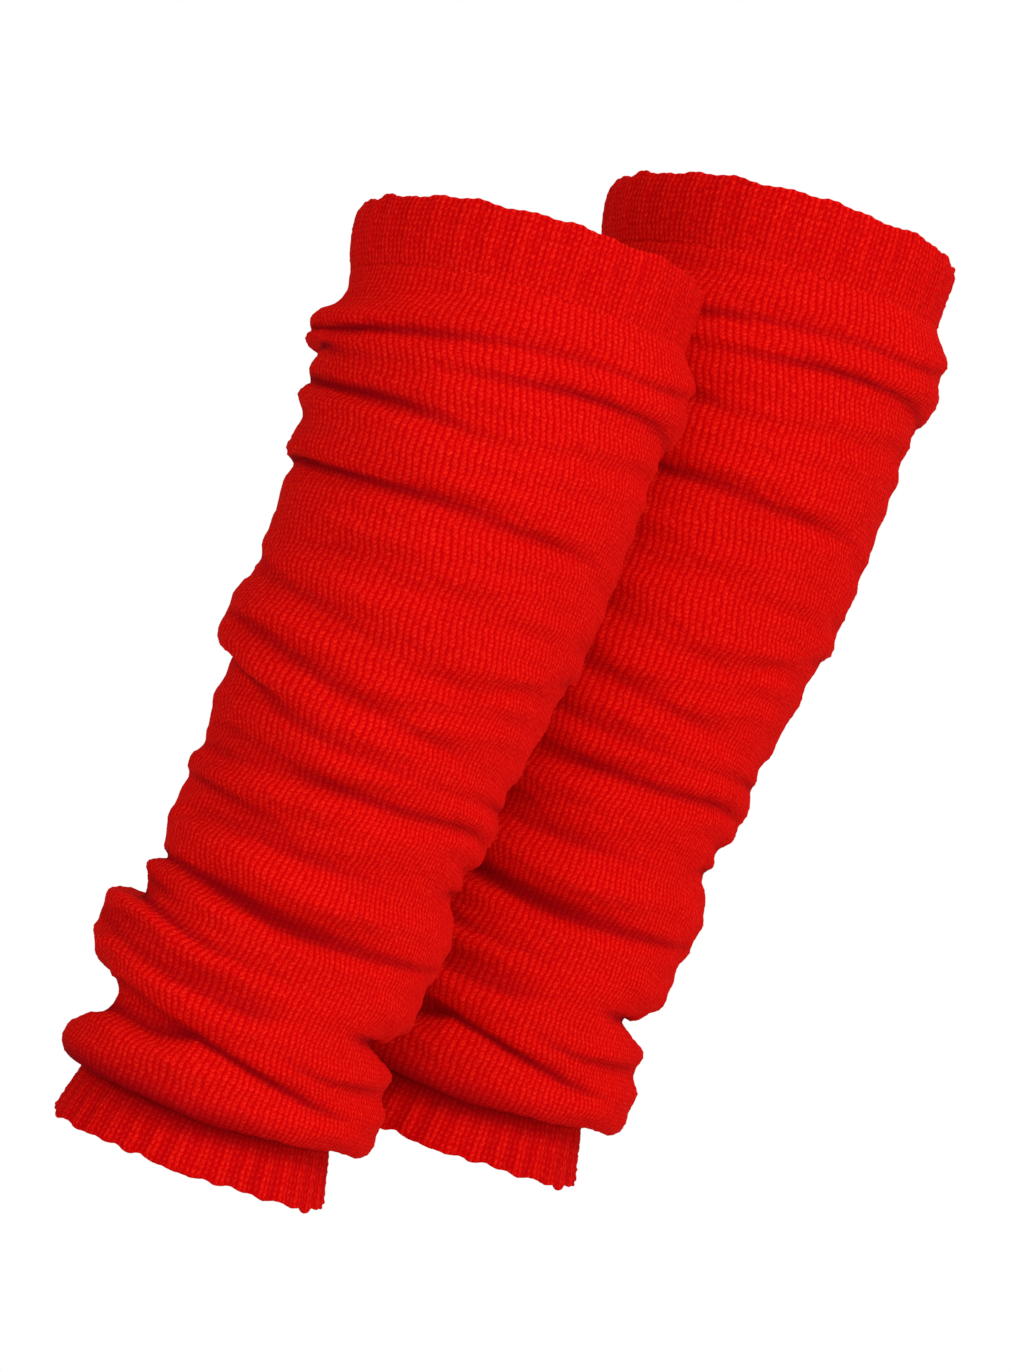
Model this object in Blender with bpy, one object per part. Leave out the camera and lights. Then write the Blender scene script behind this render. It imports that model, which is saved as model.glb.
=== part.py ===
"""A pair of knitted leg warmers, worn slouched: hollow tubes whose cloth lies in rolls and creases round the leg.

Each leg warmer is three pieces: a ribbed top cuff, a plain-knit leg and a ribbed ankle cuff. Its own frame has
the leg's line as Z, the middle of the top hem as the origin, -Y to the front and -X to the shin side. All the
tables are in millimetres in that frame. Each leg warmer is then leaned over and put in its place in the pair.
"""

import math
from typing import NamedTuple

import bmesh
import bpy
import numpy as np

MM = 0.001

# Driving dimensions, in millimetres and degrees.
WALL = 2.0  # the knitted cloth's thickness
RIB_COUNT = 36  # round a cuff
TOP_RIB_DEPTH = 0.8
ANKLE_RIB_DEPTH = 1.2
SEAM_GAP = 0.4
BACK_SHARE = 0.97  # the leg's reach to the back, as a share of half its width
LEAN = 20.3  # of both leg warmers, their tops to the right
REAR_SCALE = 1.03  # the same cut on a slightly fuller leg
REAR_PLACE = (100.2, 114.0, 14.2)  # from the front leg warmer's top hem to the rear one's

COLUMNS = 24  # round the leg
STEPS_PER_RIB = 2  # a ridge and a groove

# How a roll goes over into the crease under it: its lip hangs over the crease, or opens towards it.
HANGING_LIP = 0.3  # how far the lip is drawn in from the belly towards the crease
OPEN_LIP = 0.65
LIP_RISE = 0.12  # a lip that doesn't hang lies this share of the roll's height above the crease
CREASE_RISE = 0.35  # a crease runs up under a hanging lip by this share of its depth
MOST_RISE = 3.4
MOST_RISE_SHARE = 0.25
SOFT_TUCK = 2.0


class Round(NamedTuple):
    """One value at each station round the leg. The numbers in the names are degrees from the front."""

    left: float
    left_60: float
    left_30: float
    front: float
    right_30: float
    right_60: float
    right: float
    back_right: float
    back: float
    back_left: float


STATIONS = Round(-90, -60, -30, 0, 30, 60, 90, 135, 180, 225)

TOP_HEM = Round(-8.5, -3.0, 4.4, 9.0, 10.1, 8.8, 3.0, -5.0, -11.0, -13.0)
TOP_SEAM = Round(-34.0, -29.0, -23.0, -19.5, -18.5, -19.0, -20.0, -27.0, -36.0, -38.0)
ANKLE_HEM = Round(-375.5, -378.0, -378.5, -379.6, -378.3, -378.5, -376.0, -374.0, -373.0, -373.5)

# Heights of the creases, from the top down.
CREASES = {
    "under_cuff": Round(-60.0, -54.3, -47.4, -39.5, -36.4, -37.0, -35.0, -44.0, -54.0, -60.0),
    "double_roll": Round(-67.5, -67.0, -62.0, -55.2, -48.7, -49.2, -60.0, -66.0, -70.0, -71.0),
    "upper_calf": Round(-79.0, -77.5, -75.1, -77.3, -77.0, -77.5, -78.0, -85.0, -90.0, -84.0),
    "shin_dimple": Round(-94.5, -93.5, -91.5, -91.0, -91.0, -92.0, -93.0, -100.0, -104.0, -99.0),
    "calf": Round(-110.5, -110.0, -107.0, -105.5, -106.2, -108.5, -110.0, -116.0, -120.0, -117.0),
    "calf_soft": Round(-133.5, -138.0, -138.0, -137.5, -137.0, -137.5, -139.0, -143.0, -141.0, -136.0),
    "mid_soft": Round(-158.0, -160.0, -161.0, -163.0, -160.0, -158.0, -159.0, -166.0, -165.0, -160.0),
    "mid_sloping": Round(-179.5, -183.0, -186.5, -190.0, -192.0, -193.5, -195.0, -190.0, -184.0, -180.0),
    "mid_lower": Round(-187.5, -195.0, -203.0, -205.5, -206.5, -208.0, -210.0, -207.0, -201.0, -192.0),
    "shin_line": Round(-225.0, -227.5, -226.0, -220.8, -220.5, -226.0, -230.0, -230.0, -228.0, -225.0),
    "hollow": Round(-241.0, -247.5, -250.0, -251.5, -251.0, -249.0, -246.0, -248.0, -249.0, -244.0),
    "deep_line": Round(-269.5, -268.0, -270.3, -275.6, -275.6, -276.5, -279.5, -277.0, -272.0, -268.5),
    "shelf": Round(-287.5, -286.5, -293.0, -297.0, -296.3, -294.0, -293.5, -294.0, -291.0, -287.0),
    "notch": Round(-299.0, -301.5, -306.5, -308.8, -301.5, -309.5, -311.0, -310.0, -306.0, -300.5),
    "outer_ankle": Round(-312.0, -313.0, -318.0, -322.5, -327.5, -325.0, -326.0, -325.0, -322.0, -314.0),
    "ankle_hollow": Round(-320.5, -321.5, -326.0, -332.5, -337.8, -341.0, -342.5, -340.5, -336.0, -325.0),
    "over_cuff": Round(-355.5, -357.0, -358.3, -359.0, -355.2, -353.5, -353.5, -353.0, -353.5, -354.5),
}

# How deep each crease is drawn in from the rolls on both sides of it. At 0 it has faded out.
TUCKS = {
    "under_cuff": Round(3.0, 6.0, 5.0, 4.0, 4.0, 3.5, 2.5, 4.0, 5.0, 5.0),
    "double_roll": Round(8.0, 3.0, 1.5, 1.5, 4.0, 4.5, 4.5, 5.0, 4.0, 6.0),
    "upper_calf": Round(3.0, 6.0, 6.0, 2.5, 0.5, 0.0, 0.0, 2.0, 5.0, 5.0),
    "shin_dimple": Round(2.8, 1.5, 0.8, 0.0, 0.0, 0.0, 0.0, 1.0, 2.0, 2.5),
    "calf": Round(2.5, 6.0, 6.0, 4.0, 3.5, 2.5, 0.8, 2.5, 4.5, 5.0),
    "calf_soft": Round(1.0, 1.2, 1.5, 1.5, 1.8, 2.0, 2.8, 3.0, 3.0, 2.0),
    "mid_soft": Round(1.2, 2.2, 2.5, 2.5, 1.5, 2.0, 2.7, 3.0, 4.0, 2.5),
    "mid_sloping": Round(0.5, 2.5, 3.5, 3.0, 2.5, 1.2, 0.3, 1.5, 2.5, 1.5),
    "mid_lower": Round(4.0, 3.0, 3.2, 2.2, 1.0, 1.5, 3.3, 3.5, 3.0, 4.0),
    "shin_line": Round(0.8, 2.0, 2.5, 4.5, 4.0, 2.0, 0.3, 2.0, 4.0, 3.0),
    "hollow": Round(1.7, 3.5, 4.0, 3.5, 2.8, 3.0, 5.0, 4.0, 3.5, 3.0),
    "deep_line": Round(6.5, 5.5, 6.0, 6.0, 5.0, 3.5, 3.2, 5.0, 5.5, 6.0),
    "shelf": Round(10.0, 6.0, 3.0, 1.5, 0.5, 0.0, 0.0, 1.0, 3.0, 6.0),
    "notch": Round(0.5, 2.5, 3.0, 1.2, 2.5, 9.0, 13.0, 7.0, 4.0, 2.0),
    "outer_ankle": Round(0.0, 0.0, 0.0, 0.3, 1.2, 2.4, 2.6, 3.0, 1.0, 0.0),
    "ankle_hollow": Round(10.5, 9.0, 7.5, 6.0, 4.5, 0.4, 0.0, 1.5, 6.0, 9.0),
}

# How far a roll's lip hangs over the crease under it: 1 for an overhang, 0 for an open valley.
HANGS = {
    "under_cuff": 0.9,
    "double_roll": 1.0,
    "upper_calf": 1.0,
    "shin_dimple": 0.0,
    "calf": 0.8,
    "calf_soft": 0.2,
    "mid_soft": 0.1,
    "mid_sloping": 0.3,
    "mid_lower": 0.5,
    "shin_line": 0.8,
    "hollow": 0.2,
    "deep_line": 0.8,
    "shelf": 0.0,
    "notch": 0.1,
    "outer_ankle": 0.1,
    "ankle_hollow": 0.6,
    "over_cuff": 1.0,
}

# Breadth of a crease's floor, where it is a hollow and not a line.
FLOORS = {
    "ankle_hollow": Round(17.0, 14.0, 7.0, 1.5, 1.2, 1.2, 1.2, 1.5, 4.0, 12.0),
}


class Roll(NamedTuple):
    """The roll under a crease. Its shoulder and belly lie at shares of its height, and reach out from the leg's
    line by so much on each side."""

    shoulder_at: float
    belly_at: float
    left_shoulder: float
    left_belly: float
    front_shoulder: float
    front_belly: float
    right_shoulder: float
    right_belly: float


ROLLS = {
    "top_seam": Roll(0.38, 0.80, 60.5, 70.0, 67.0, 70.0, 76.0, 79.0),
    "under_cuff": Roll(0.35, 0.75, 69.0, 68.5, 70.0, 71.5, 79.5, 79.5),
    "double_roll": Roll(0.35, 0.70, 63.0, 64.0, 70.5, 71.5, 75.0, 75.5),
    "upper_calf": Roll(0.30, 0.65, 64.0, 62.5, 70.5, 71.5, 75.5, 76.0),
    "shin_dimple": Roll(0.30, 0.70, 59.5, 61.0, 71.5, 72.5, 76.0, 76.0),
    "calf": Roll(0.30, 0.70, 57.5, 57.0, 69.5, 70.5, 76.0, 76.0),
    "calf_soft": Roll(0.38, 0.75, 57.5, 55.0, 68.5, 69.0, 75.5, 75.0),
    "mid_soft": Roll(0.36, 0.72, 55.5, 61.0, 66.0, 67.5, 70.5, 68.0),
    "mid_sloping": Roll(0.30, 0.78, 61.5, 60.5, 64.0, 65.5, 65.5, 65.0),
    "mid_lower": Roll(0.35, 0.62, 53.5, 53.5, 62.0, 64.0, 66.0, 66.5),
    "shin_line": Roll(0.25, 0.55, 54.0, 53.5, 60.5, 61.5, 64.0, 61.0),
    "hollow": Roll(0.18, 0.65, 54.5, 53.0, 58.5, 60.5, 60.5, 65.0),
    "deep_line": Roll(0.30, 0.70, 56.0, 53.0, 57.5, 58.5, 62.5, 62.5),
    "shelf": Roll(0.18, 0.60, 65.0, 67.0, 58.5, 58.5, 62.0, 59.0),
    "notch": Roll(0.35, 0.72, 66.5, 64.5, 58.0, 59.0, 55.5, 60.5),
    "outer_ankle": Roll(0.30, 0.60, 62.0, 58.0, 59.5, 59.5, 61.0, 63.5),
    "ankle_hollow": Roll(0.25, 0.62, 58.0, 63.0, 55.0, 58.0, 64.0, 64.0),
}


class Section(NamedTuple):
    """A section of a cuff, at a share of its height from its upper edge, and its reach on each side."""

    at: float
    left: float
    front: float
    right: float


TOP_CUFF = (
    Section(0.00, 66.0, 65.5, 69.0),
    Section(0.14, 67.0, 66.2, 70.0),
    Section(0.56, 65.5, 66.5, 70.0),
    Section(1.00, 61.5, 66.0, 70.5),
)
ANKLE_CUFF = (
    Section(0.00, 52.0, 49.5, 47.5),
    Section(0.30, 53.5, 51.0, 49.5),
    Section(0.68, 55.5, 52.8, 51.5),
    Section(1.00, 57.0, 54.5, 53.5),
)


class Centre(NamedTuple):
    """How far the middle of the leg lies from its straight line, towards the calf side, at a height."""

    height: float
    offset: float


CENTRE_LINE = (
    Centre(15.0, 2.0),
    Centre(-100.0, 9.0),
    Centre(-180.0, 7.0),
    Centre(-250.0, 4.0),
    Centre(-330.0, 1.0),
    Centre(-385.0, -2.0),
)


def round_the_leg(row, angles):
    """A smooth closed curve through a row's values, read at these angles."""
    turn = 2 * math.pi
    knots = np.radians(STATIONS)
    knots = np.concatenate([knots - turn, knots, knots + turn])
    values = np.tile(row, 3)
    slopes = np.gradient(values, knots)
    angles = np.mod(angles + math.pi / 2, turn) - math.pi / 2
    i = np.searchsorted(knots, angles, side="right") - 1
    span = knots[i + 1] - knots[i]
    t = (angles - knots[i]) / span
    rise = 3 * t**2 - 2 * t**3
    start = (t**3 - 2 * t**2 + t) * span * slopes[i]
    end = (t**3 - t**2) * span * slopes[i + 1]
    return values[i] * (1 - rise) + values[i + 1] * rise + start + end


def centre_offset(heights):
    rows = sorted(CENTRE_LINE)
    return np.interp(heights, [c.height for c in rows], [c.offset for c in rows])


def reach_round(left, front, right, angles):
    """The reach at each angle, as the two half widths and the front or back depth of an oval section."""
    back = BACK_SHARE * (left + right) / 2
    across = np.where(np.sin(angles) < 0, left, right)
    depth = np.where(np.cos(angles) > 0, front, back)
    return across, depth


def ring(heights, reaches, inwards, angles):
    """One ring of points, drawn in from an oval section by so much at each angle."""
    across, depth = reaches
    centre = centre_offset(heights)
    half = across + np.where(np.sin(angles) < 0, centre, -centre)
    x = centre + (half - inwards) * np.sin(angles)
    y = -(depth - inwards) * np.cos(angles)
    return np.stack([x, y, heights], axis=1)


def mix(a, b, share):
    return tuple((1 - share) * p + share * q for p, q in zip(a, b))


def leg_rings(angles):
    """The rings of the plain-knit leg, from the seam under the top cuff to the seam over the ankle cuff."""
    none = np.zeros(len(angles))
    names = list(ROLLS)
    lines = {name: round_the_leg(row, angles) for name, row in CREASES.items()}
    lines["top_seam"] = round_the_leg(TOP_SEAM, angles) - SEAM_GAP / 2
    seam = TOP_CUFF[-1]
    top = reach_round(seam.left, seam.front, seam.right, angles)
    rings = [ring(lines["top_seam"], top, none, angles)]
    valley, tuck = top, none
    for name, below in zip(names, names[1:] + ["over_cuff"]):
        roll = ROLLS[name]
        shoulder = reach_round(roll.left_shoulder, roll.front_shoulder, roll.right_shoulder, angles)
        belly = reach_round(roll.left_belly, roll.front_belly, roll.right_belly, angles)
        upper = lines[name]
        if name in FLOORS:
            upper = upper - np.maximum(round_the_leg(FLOORS[name], angles), 1.0)
            rings.append(ring(upper, valley, tuck, angles))
        height = upper - lines[below]
        rings.append(ring(upper - roll.shoulder_at * height, shoulder, none, angles))
        rings.append(ring(upper - roll.belly_at * height, belly, none, angles))
        if below in ROLLS:
            after = ROLLS[below]
            next_shoulder = reach_round(
                after.left_shoulder, after.front_shoulder, after.right_shoulder, angles
            )
            valley = mix(belly, next_shoulder, 0.5)
            tuck = np.maximum(round_the_leg(TUCKS[below], angles), 0.0)
        else:
            cuff = ANKLE_CUFF[0]
            valley = reach_round(cuff.left, cuff.front, cuff.right, angles)
            tuck = none
        bottom = tuple(v - tuck for v in valley)
        to_side = np.sin(angles) ** 2
        drop = (belly[0] - bottom[0]) * to_side + (belly[1] - bottom[1]) * (1 - to_side)
        drop = np.maximum(drop, 0.0)
        hang = HANGS[below] * drop / (drop + SOFT_TUCK)
        lip = mix(belly, bottom, OPEN_LIP + (HANGING_LIP - OPEN_LIP) * HANGS[below])
        rings.append(ring(lines[below] + (1 - hang) * LIP_RISE * height, lip, none, angles))
        rise = np.minimum(CREASE_RISE * drop, np.minimum(MOST_RISE, MOST_RISE_SHARE * height))
        rings.append(ring(lines[below] + HANGS[below] * rise, valley, tuck, angles))
    rings.append(ring(lines["over_cuff"] + SEAM_GAP / 2, valley, none, angles))
    return np.array(rings)


def cuff_rings(sections, upper, lower, rib_depth, angles):
    """The rings of a cuff between two edges, with a groove at every other column if it is ribbed."""
    groove = np.zeros(len(angles))
    groove[1::2] = rib_depth
    rings = []
    for section in sections:
        heights = upper + section.at * (lower - upper)
        reaches = reach_round(section.left, section.front, section.right, angles)
        rings.append(ring(heights, reaches, groove, angles))
    return np.array(rings)


def drawn_in(rings, wall):
    """The points of the cloth's other face, a wall's thickness in from these."""
    along = np.diff(rings, axis=0)
    along /= np.linalg.norm(along, axis=2, keepdims=True)
    before = np.concatenate([along[:1], along])
    after = np.concatenate([along, along[-1:]])
    around = np.roll(rings, -1, axis=1) - np.roll(rings, 1, axis=1)
    outward = np.cross(before + after, around)
    outward /= np.linalg.norm(outward, axis=2, keepdims=True)
    flat = np.cross(after, around)
    flat /= np.linalg.norm(flat, axis=2, keepdims=True)
    lean = np.maximum((outward * flat).sum(axis=2, keepdims=True), 0.7)
    return rings - outward * wall / lean


def wall_mesh(name, outer, inner):
    """A closed tube wall between an outer and an inner grid, whose columns divide the outer one's evenly."""
    bm = bmesh.new()
    outside = [[bm.verts.new(p * MM) for p in row] for row in outer]
    inside = [[bm.verts.new(p * MM) for p in row] for row in inner]
    for grid, flip in ((outside, False), (inside, True)):
        for upper, lower in zip(grid, grid[1:]):
            for i in range(len(upper)):
                j = (i + 1) % len(upper)
                face = [upper[i], lower[i], lower[j], upper[j]]
                bm.faces.new(face[::-1] if flip else face)
    per_column = len(outside[0]) // len(inside[0])
    for end, flip in ((0, True), (-1, False)):
        for i in range(len(inside[end])):
            j = (i + 1) % len(inside[end])
            edge = [outside[end][(i * per_column + k) % len(outside[end])] for k in range(per_column + 1)]
            face = edge[::-1] + [inside[end][i], inside[end][j]]
            for corners in fan(face):
                bm.faces.new(corners[::-1] if flip else corners)
    mesh = bpy.data.meshes.new(name)
    bm.to_mesh(mesh)
    bm.free()
    mesh.shade_smooth()
    mesh.set_sharp_from_angle(angle=math.radians(50))
    return mesh


def fan(face):
    """Triangles over one stretch of a hem: the outer points fan to the inner edge's two ends, changing over at the
    one nearest to it, which is a groove."""
    *outer, first, last = face
    middle = (first.co + last.co) / 2
    nearest = min(range(len(outer)), key=lambda k: (outer[k].co - middle).length)
    triangles = [(last, outer[k], outer[k + 1]) for k in range(nearest)]
    triangles.append((last, outer[nearest], first))
    triangles += [(first, outer[k], outer[k + 1]) for k in range(nearest, len(outer) - 1)]
    return triangles


def knit_material(name, hex_colour):
    """Brushed acrylic knit: one plain red, rough, with no metal."""
    channels = [int(hex_colour[k : k + 2], 16) / 255 for k in (1, 3, 5)]
    linear = [c / 12.92 if c <= 0.04045 else ((c + 0.055) / 1.055) ** 2.4 for c in channels]
    material = bpy.data.materials.new(name)
    material.use_nodes = True
    shader = material.node_tree.nodes["Principled BSDF"]
    shader.inputs["Base Color"].default_value = (*linear, 1.0)
    shader.inputs["Roughness"].default_value = 0.9
    shader.inputs["Metallic"].default_value = 0.0
    material.diffuse_color = (*linear, 1.0)
    return material


def add_piece(name, outer, inner, material, holder):
    piece = bpy.data.objects.new(name, wall_mesh(name, outer, inner))
    piece.data.materials.append(material)
    piece.parent = holder
    bpy.context.collection.objects.link(piece)


def add_leg_warmer(side, scale, place, materials):
    """One leg warmer: its three pieces on an empty at the middle of its top hem."""
    holder = bpy.data.objects.new(side + "_leg_line", None)
    holder.location = [p * MM for p in place]
    holder.rotation_euler = (0.0, math.radians(LEAN), 0.0)
    bpy.context.collection.objects.link(holder)

    columns = np.arange(COLUMNS) * 2 * math.pi / COLUMNS
    ribs = RIB_COUNT * STEPS_PER_RIB
    rib_columns = np.arange(ribs) * 2 * math.pi / ribs

    leg = scale * leg_rings(columns)
    add_piece(side + "_leg", leg, drawn_in(leg, WALL), materials["leg"], holder)

    def edges(angles):
        top = round_the_leg(TOP_HEM, angles), round_the_leg(TOP_SEAM, angles) + SEAM_GAP / 2
        ankle = round_the_leg(CREASES["over_cuff"], angles) - SEAM_GAP / 2, round_the_leg(ANKLE_HEM, angles)
        return top, ankle

    ribbed, plain = edges(rib_columns), edges(columns)
    cuffs = (("_top_cuff", TOP_CUFF, TOP_RIB_DEPTH), ("_ankle_cuff", ANKLE_CUFF, ANKLE_RIB_DEPTH))
    for (suffix, sections, depth), outer_edges, inner_edges in zip(cuffs, ribbed, plain):
        outer = scale * cuff_rings(sections, *outer_edges, depth, rib_columns)
        inner = drawn_in(scale * cuff_rings(sections, *inner_edges, 0.0, columns), WALL)
        add_piece(side + suffix, outer, inner, materials["cuff"], holder)


def clear_scene():
    for obj in list(bpy.data.objects):
        bpy.data.objects.remove(obj, do_unlink=True)


def main():
    clear_scene()
    materials = {
        "leg": knit_material("plain_knit", "#D40D08"),
        "cuff": knit_material("ribbed_knit", "#C80C08"),
    }
    half = [p / 2 for p in REAR_PLACE]
    add_leg_warmer("front", 1.0, [-p for p in half], materials)
    add_leg_warmer("rear", REAR_SCALE, half, materials)


main()
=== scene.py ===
"""A pair of red knitted leg warmers, worn slouched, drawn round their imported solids.

Each leg warmer is a ribbed top cuff, a plain-knit leg and a ribbed ankle cuff. Its own frame has the
leg's line as Z, the middle of the top hem as the origin, -Y to the front and -X to the shin side. The tables
are in millimetres in that frame, as in the solids' source. Blender's own lengths are in metres.
"""

import functools
import math
from typing import NamedTuple

import bpy
import numpy as np
from bpy.props import FloatProperty, FloatVectorProperty, IntProperty, PointerProperty
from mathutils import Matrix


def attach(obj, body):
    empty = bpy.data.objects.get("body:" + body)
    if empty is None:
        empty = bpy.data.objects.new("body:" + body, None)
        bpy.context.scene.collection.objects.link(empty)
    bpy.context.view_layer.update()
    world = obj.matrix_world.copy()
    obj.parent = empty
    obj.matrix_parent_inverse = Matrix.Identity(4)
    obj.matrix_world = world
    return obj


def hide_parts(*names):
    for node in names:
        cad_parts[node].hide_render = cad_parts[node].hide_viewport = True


bl_info = {
    "name": "Slouched Leg Warmers",
    "version": (1, 0, 0),
    "blender": (4, 5, 0),
    "location": "View3D > Sidebar > Leg Warmers",
    "description": "Draws a pair of slouched knitted leg warmers round their solids",
    "category": "Object",
}

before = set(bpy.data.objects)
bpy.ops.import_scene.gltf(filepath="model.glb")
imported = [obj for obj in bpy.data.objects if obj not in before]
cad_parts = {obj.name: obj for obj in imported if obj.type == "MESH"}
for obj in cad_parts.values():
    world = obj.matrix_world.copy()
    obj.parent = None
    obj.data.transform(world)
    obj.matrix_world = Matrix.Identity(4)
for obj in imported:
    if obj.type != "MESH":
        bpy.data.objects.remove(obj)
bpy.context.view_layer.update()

MM = 0.001

# The photo's frame, which the camera follows.
FRAME_PIXELS = (1011, 1372)
PIXEL = 0.385  # millimetres across one pixel at the front leg warmer's line
HEM_PIXEL = (531.4, 242.7)  # where the middle of the front top hem lies

# The form's sizes, in millimetres.
WALL = 2.0  # the knitted cloth's thickness
SEAM_GAP = 0.4
LEG_UP_UNDER_CUFF = 1.6  # how far the leg's end goes in under the top cuff
LEG_IN_UNDER_CUFF = 0.7
CUFF_UNDER_LEG = {"top": 1.0, "ankle": 1.5}  # how far a cuff's end goes in under the leg
CUFF_SUNK = 0.35
BACK_SHARE = 0.97  # the leg's reach to the back, as a share of half its width
REAR_SCALE = 1.03  # the same cut on a slightly fuller leg
REAR_PLACE = (100.2, 114.0, 14.2)  # from the front leg warmer's top hem to the rear one's
HANGING_LIP = 0.3  # how far a lip that hangs over its crease is drawn in from the belly
OPEN_LIP = 0.65
LIP_RISE = 0.18
EARLY_BELLY = 0.08  # in front the rolls turn in sooner, and hang over their creases less, than at the sides
FRONT_HANG = 0.1
CREASE_RISE = 0.35
MOST_RISE = 3.4
MOST_RISE_SHARE = 0.25
SOFT_TUCK = 2.0
FRONT_SOFTNESS = 2.4  # how far the cloth rounds over its creases, at the front and back
SIDE_SOFTNESS = 1.0
CRISP_FROM = 16 / 17  # of the way down; below that the cloth is crisp all round
CRISP_WITHIN = 1 / 34

# The knit's grid.
LEG_COLUMNS_PER_WALE = 3
CUFF_COLUMNS_PER_WALE = 4
RIBS = 36
RIB_TURN = 0.3  # to the calf side, in ribs
RIB_SQUARENESS = 2.2  # near 0 a rib's section would be a sine wave
TOP_SCALLOP = 0.15  # of the hem, from wale to wale
ANKLE_SCALLOP = 0.5  # of the hem, from rib to rib
WALE_IN_CUFF = 0.8  # a wale's relief in a cuff, as a share of that in the leg
FORM_COLUMNS = 720  # of the smooth form that the wales are then laid along
DRIFT_COLUMN = FORM_COLUMNS // 36  # where the drifts' heights are read
MEAN_REACH = 65.0
INSIDE_COLUMNS = 72
SHARPEST_TURN = 0.7  # the least cosine that the wall's thickness is divided by
LEG_ROWS = 190
CUFF_ROW_SPACING = 1.3
RIM_STEPS = 6

# Painted shade: how dark the cloth's colour is drawn in a crease, under the last roll and where that roll
# shades the ankle cuff. Pairs give where a change begins and over how much it comes.
CREASE_SPAN = 2  # rows above and below, which a crease's depth is measured against
CREASE_DARKENS = (0.35, 1.25)
SEAM_STAYS_PALE = (0.03, 0.04)
UNDERSIDE = (0.946, 0.03)  # the last roll turns under there
UNDERSIDE_SHADE = 0.62
UNDERSIDE_LEAN = 0.55  # so much darker on the shin side
CUFF_SHADE = 0.8  # what that roll throws on the ankle cuff
CUFF_SHADE_ENDS = (0.06818, 0.45455)
CUFF_SHADE_AT_SIDES = 0.05

# The knit's width round and the leg's length as knitted, laid flat, in metres.
LEG_LENGTH = 0.45

# Scales of the noise in the yarn.
BROAD_SCALE = 34.0  # patches of about 30 mm
TENSION_SCALE = 170.0  # yarn tension, over about 6 mm
CLUMP_SCALE = 420.0  # the nap's clumps of hairs, 2 to 3 mm
HAIR_SCALE = 1200.0  # hairs, under 1 mm
BUMP_HEIGHT = 0.00027  # of a stitch over the line between wales, in metres
BUMP_STRENGTH = 0.4


class Round(NamedTuple):
    """One value at each station round the leg. The numbers in the names are degrees from the front."""

    left: float
    left_60: float
    left_30: float
    front: float
    right_30: float
    right_60: float
    right: float
    back_right: float
    back: float
    back_left: float


STATIONS = Round(-90, -60, -30, 0, 30, 60, 90, 135, 180, 225)

TOP_HEM = Round(-8.5, -3.0, 4.4, 9.0, 10.1, 8.8, 3.0, -5.0, -11.0, -13.0)
TOP_SEAM = Round(-34.0, -29.0, -23.0, -19.5, -18.5, -19.0, -20.0, -27.0, -36.0, -38.0)
ANKLE_HEM = Round(-375.5, -378.0, -378.5, -379.6, -378.3, -378.5, -376.0, -374.0, -373.0, -373.5)

# Heights of the creases, from the top down.
CREASES = {
    "under_cuff": Round(-62.0, -58.7, -51.7, -42.7, -38.2, -37.4, -35.0, -44.0, -54.0, -60.0),
    "double_roll": Round(-67.5, -63.8, -58.5, -54.6, -50.3, -50.3, -57.0, -66.0, -70.0, -71.0),
    "upper_calf": Round(-79.3, -78.6, -75.9, -77.3, -73.0, -70.0, -71.0, -85.0, -90.0, -84.0),
    "shin_dimple": Round(-94.5, -93.5, -91.5, -91.0, -91.0, -92.0, -93.0, -100.0, -104.0, -99.0),
    "calf": Round(-110.5, -110.0, -108.2, -106.6, -107.0, -108.4, -110.0, -116.0, -120.0, -117.0),
    "calf_soft": Round(-133.5, -141.0, -138.5, -140.5, -145.5, -145.0, -139.0, -143.0, -141.0, -136.0),
    "mid_soft": Round(-156.5, -157.0, -160.0, -167.0, -171.0, -158.5, -157.0, -166.0, -165.0, -160.0),
    "mid_sloping": Round(-172.0, -175.0, -182.3, -189.3, -194.0, -197.0, -196.0, -190.0, -184.0, -180.0),
    "mid_lower": Round(-187.5, -192.0, -201.5, -205.5, -206.5, -208.0, -210.0, -207.0, -200.0, -188.5),
    "shin_line": Round(-217.0, -215.5, -218.3, -222.2, -221.5, -220.4, -225.5, -230.0, -228.0, -225.0),
    "hollow": Round(-236.5, -237.4, -240.8, -246.6, -248.5, -247.0, -245.0, -248.0, -249.0, -244.0),
    "deep_line": Round(-269.5, -270.6, -272.2, -275.5, -276.7, -277.0, -276.0, -277.0, -272.0, -268.5),
    "shelf": Round(-287.5, -289.2, -296.0, -299.8, -299.0, -296.5, -293.5, -294.0, -291.0, -287.0),
    "notch": Round(-296.5, -295.8, -301.8, -308.8, -309.0, -309.5, -310.5, -310.0, -306.0, -300.5),
    "outer_ankle": Round(-312.0, -314.0, -319.5, -325.5, -329.5, -328.0, -326.0, -325.0, -322.0, -314.0),
    "ankle_hollow": Round(-320.5, -320.6, -326.3, -332.4, -338.4, -341.3, -342.5, -340.5, -336.0, -325.0),
    "over_cuff": Round(-355.5, -357.0, -358.3, -359.8, -357.0, -353.5, -353.5, -353.0, -353.5, -354.5),
}

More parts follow.
